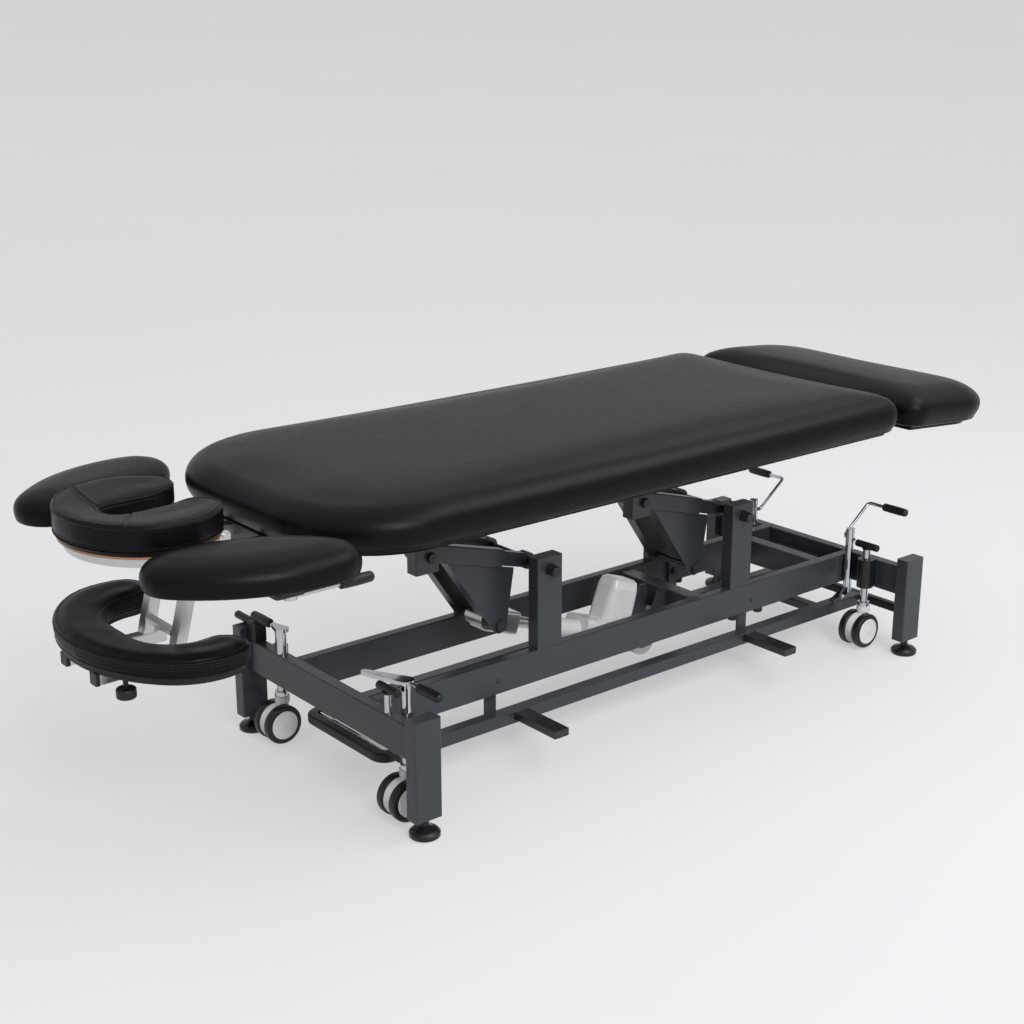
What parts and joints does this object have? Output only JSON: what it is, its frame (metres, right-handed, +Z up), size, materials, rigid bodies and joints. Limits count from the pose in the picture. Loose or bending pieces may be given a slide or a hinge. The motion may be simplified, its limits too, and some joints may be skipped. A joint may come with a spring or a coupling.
{
  "type": "massage table",
  "caption": "Height-adjustable upholstered treatment table with parallelogram lift, face cradle, folding armrests, sliding arm shelf, drop foot section and casters.",
  "frame": {"origin": "on the floor under the middle of the whole table", "axes": "+X to the foot end, head end at -X, +Z up, -Y is the side that the picture shows nearest"},
  "size_m": [2.3638, 0.8684, 0.712],
  "materials": {
    "anthracite_steel": "satin",
    "black_plastic": "satin",
    "black_rubber": "matte",
    "chrome": "polished",
    "dark_fastener": "satin",
    "silver_steel": "satin",
    "plywood": "satin",
    "black_upholstery": "satin",
    "grey_plastic": "satin",
    "white_plastic": "gloss",
    "wheel_tyre": "satin"
  },
  "bodies": {
    "base": {"corner_legs": "anthracite_steel", "levelling_feet": "black_plastic", "head_cross_rail": "anthracite_steel", "foot_cross_rail": "anthracite_steel", "side_rails": "anthracite_steel", "pivot_posts": "anthracite_steel", "lift_shafts": "dark_fastener", "base_cross_tubes": "anthracite_steel", "actuator_bracket": "anthracite_steel", "control_box": "black_plastic", "rubber_buffers": "black_rubber", "guide_screws": "chrome", "caster_sockets": "black_plastic", "corner_columns": "chrome", "wheel_lock_grips": "black_rubber"},
    "foot_control": {"control_bars": "anthracite_steel", "pedal_arms": "black_rubber", "end_foot_bars": "black_rubber", "head_bar_rod": "chrome"},
    "front_arm": {"front_arms": "anthracite_steel", "front_v_plates": "anthracite_steel"},
    "rear_arm": {"rear_arms": "anthracite_steel", "rear_v_plates": "anthracite_steel"},
    "top": {"top_frame_tubes": "anthracite_steel", "pivot_blocks": "anthracite_steel", "pivot_bolts": "dark_fastener", "main_board": "plywood", "main_pad": "black_upholstery", "head_tubes": "silver_steel", "shelf_frame": "silver_steel", "shelf_end_caps": "black_rubber"},
    "actuator_rod": {"actuator_rod": "silver_steel"},
    "actuator_body": {"actuator_body": "grey_plastic"},
    "foot_section": {"foot_frame": "anthracite_steel", "foot_board": "plywood", "foot_pad": "black_upholstery"},
    "cradle": {"cradle_plate": "silver_steel", "cradle_ring": "plywood", "cradle_pad": "black_upholstery"},
    "armrest_near": {"armrest_arm_near": "silver_steel", "armrest_pad_near": "black_upholstery"},
    "armrest_far": {"armrest_arm_far": "silver_steel", "armrest_pad_far": "black_upholstery"},
    "armrest_lever_near": {"armrest_lever_near": "silver_steel"},
    "armrest_lever_far": {"armrest_lever_far": "silver_steel"},
    "shelf": {"shelf_board": "plywood", "shelf_pad": "black_upholstery"},
    "shelf_knob": {"shelf_knob": "black_rubber"},
    "swivel_head_near": {"caster_hood_head_near": "white_plastic"},
    "wheels_head_near": {"caster_wheels_head_near": "wheel_tyre"},
    "swivel_head_far": {"caster_hood_head_far": "white_plastic"},
    "wheels_head_far": {"caster_wheels_head_far": "wheel_tyre"},
    "swivel_foot_near": {"caster_hood_foot_near": "white_plastic"},
    "wheels_foot_near": {"caster_wheels_foot_near": "wheel_tyre"},
    "swivel_foot_far": {"caster_hood_foot_far": "white_plastic"},
    "wheels_foot_far": {"caster_wheels_foot_far": "wheel_tyre"},
    "crank_foot_near": {"crank_foot_near": "chrome"},
    "crank_foot_far": {"crank_foot_far": "chrome"},
    "lever_head_near": {"lever_head_near": "chrome"},
    "lever_head_far": {"lever_head_far": "chrome"}
  },
  "joints": [
    {"name": "lift", "type": "hinge", "parent": "base", "child": "front_arm", "pos_m": [-0.13291, 0, 0.408], "axis": [0, 1, 0], "range_deg": [-16, 40]},
    {"name": "rear_lift", "type": "hinge", "parent": "base", "child": "rear_arm", "pos_m": [0.47669, 0, 0.408], "axis": [0, 1, 0], "range_deg": [-16, 40]},
    {"name": "top_level", "type": "hinge", "parent": "front_arm", "child": "top", "pos_m": [-0.42991, 0, 0.49], "axis": [0, 1, 0], "range_deg": [-40, 16]},
    {"name": "actuator_pivot", "type": "hinge", "parent": "front_arm", "child": "actuator_rod", "pos_m": [-0.20691, 0, 0.271], "axis": [0, 1, 0], "range_deg": [-38, 16]},
    {"name": "actuator_stroke", "type": "slide", "parent": "actuator_rod", "child": "actuator_body", "axis": [0.9431, 0, -0.3325], "range_m": [-0.0419, 0.1018]},
    {"name": "foot_section_tilt", "type": "hinge", "parent": "top", "child": "foot_section", "pos_m": [0.80609, 0, 0.5855], "axis": [0, 1, 0], "range_deg": [-4.5, 25.5]},
    {"name": "cradle_tilt", "type": "hinge", "parent": "top", "child": "cradle", "pos_m": [-0.87691, 0, 0.617], "axis": [0, 1, 0], "range_deg": [-8, 30]},
    {"name": "armrest_near_fold", "type": "hinge", "parent": "top", "child": "armrest_near", "pos_m": [-0.93941, -0.197, 0.59], "axis": [1, 0, 0], "range_deg": [0, 50]},
    {"name": "armrest_far_fold", "type": "hinge", "parent": "top", "child": "armrest_far", "pos_m": [-0.93941, 0.197, 0.59], "axis": [-1, 0, 0], "range_deg": [0, 50]},
    {"name": "armrest_lever_near_turn", "type": "hinge", "parent": "armrest_near", "child": "armrest_lever_near", "pos_m": [-0.93141, -0.385, 0.597], "axis": [0, 0, 1], "range_deg": [0, 25]},
    {"name": "armrest_lever_far_turn", "type": "hinge", "parent": "armrest_far", "child": "armrest_lever_far", "pos_m": [-0.93141, 0.385, 0.597], "axis": [0, 0, -1], "range_deg": [0, 25]},
    {"name": "shelf_slide", "type": "slide", "parent": "top", "child": "shelf", "axis": [1, 0, 0], "range_m": [-0.06, 0.05]},
    {"name": "shelf_knob_turn", "type": "hinge", "parent": "shelf", "child": "shelf_knob", "pos_m": [-1.11991, -0.108, 0.383], "axis": [0, 0, 1], "range_deg": [-90, 90]},
    {"name": "foot_control_press", "type": "slide", "parent": "base", "child": "foot_control", "axis": [0, 0, 1], "range_m": [-0.006, 0], "stiffness_N_per_m": 24000, "springref_m": 0.008},
    {"name": "swivel_head_near", "type": "hinge", "parent": "base", "child": "swivel_head_near", "pos_m": [-0.58491, -0.238, 0.1], "axis": [0, 0, 1], "continuous": true},
    {"name": "roll_head_near", "type": "hinge", "parent": "swivel_head_near", "child": "wheels_head_near", "pos_m": [-0.59891, -0.238, 0.0465], "axis": [0, 1, 0], "continuous": true},
    {"name": "swivel_head_far", "type": "hinge", "parent": "base", "child": "swivel_head_far", "pos_m": [-0.58491, 0.238, 0.1], "axis": [0, 0, 1], "continuous": true},
    {"name": "roll_head_far", "type": "hinge", "parent": "swivel_head_far", "child": "wheels_head_far", "pos_m": [-0.59891, 0.238, 0.0465], "axis": [0, 1, 0], "continuous": true},
    {"name": "swivel_foot_near", "type": "hinge", "parent": "base", "child": "swivel_foot_near", "pos_m": [0.87009, -0.22, 0.1], "axis": [0, 0, 1], "continuous": true},
    {"name": "roll_foot_near", "type": "hinge", "parent": "swivel_foot_near", "child": "wheels_foot_near", "pos_m": [0.85609, -0.22, 0.0465], "axis": [0, 1, 0], "continuous": true},
    {"name": "swivel_foot_far", "type": "hinge", "parent": "base", "child": "swivel_foot_far", "pos_m": [0.87009, 0.22, 0.1], "axis": [0, 0, 1], "continuous": true},
    {"name": "roll_foot_far", "type": "hinge", "parent": "swivel_foot_far", "child": "wheels_foot_far", "pos_m": [0.85609, 0.22, 0.0465], "axis": [0, 1, 0], "continuous": true},
    {"name": "crank_foot_near_turn", "type": "hinge", "parent": "base", "child": "crank_foot_near", "pos_m": [0.86809, -0.166, 0.275], "axis": [0, 1, 0], "range_deg": [-25, 35]},
    {"name": "crank_foot_far_turn", "type": "hinge", "parent": "base", "child": "crank_foot_far", "pos_m": [0.86809, 0.166, 0.275], "axis": [0, 1, 0], "range_deg": [-25, 35]},
    {"name": "lever_head_near_turn", "type": "hinge", "parent": "base", "child": "lever_head_near", "pos_m": [-0.58491, -0.238, 0.296], "axis": [0, 0, 1], "range_deg": [-30, 30]},
    {"name": "lever_head_far_turn", "type": "hinge", "parent": "base", "child": "lever_head_far", "pos_m": [-0.60991, 0.188, 0.284], "axis": [0, 0, 1], "range_deg": [-30, 30]}
  ],
  "couplings": [
    {"joint": "rear_lift", "follows": "lift", "ratio": 1},
    {"joint": "top_level", "follows": "lift", "ratio": -1},
    {"joint": "actuator_pivot", "follows": "lift", "ratio": -0.90546},
    {"joint": "actuator_stroke", "follows": "lift", "m_per_rad": 0.14291}
  ]
}
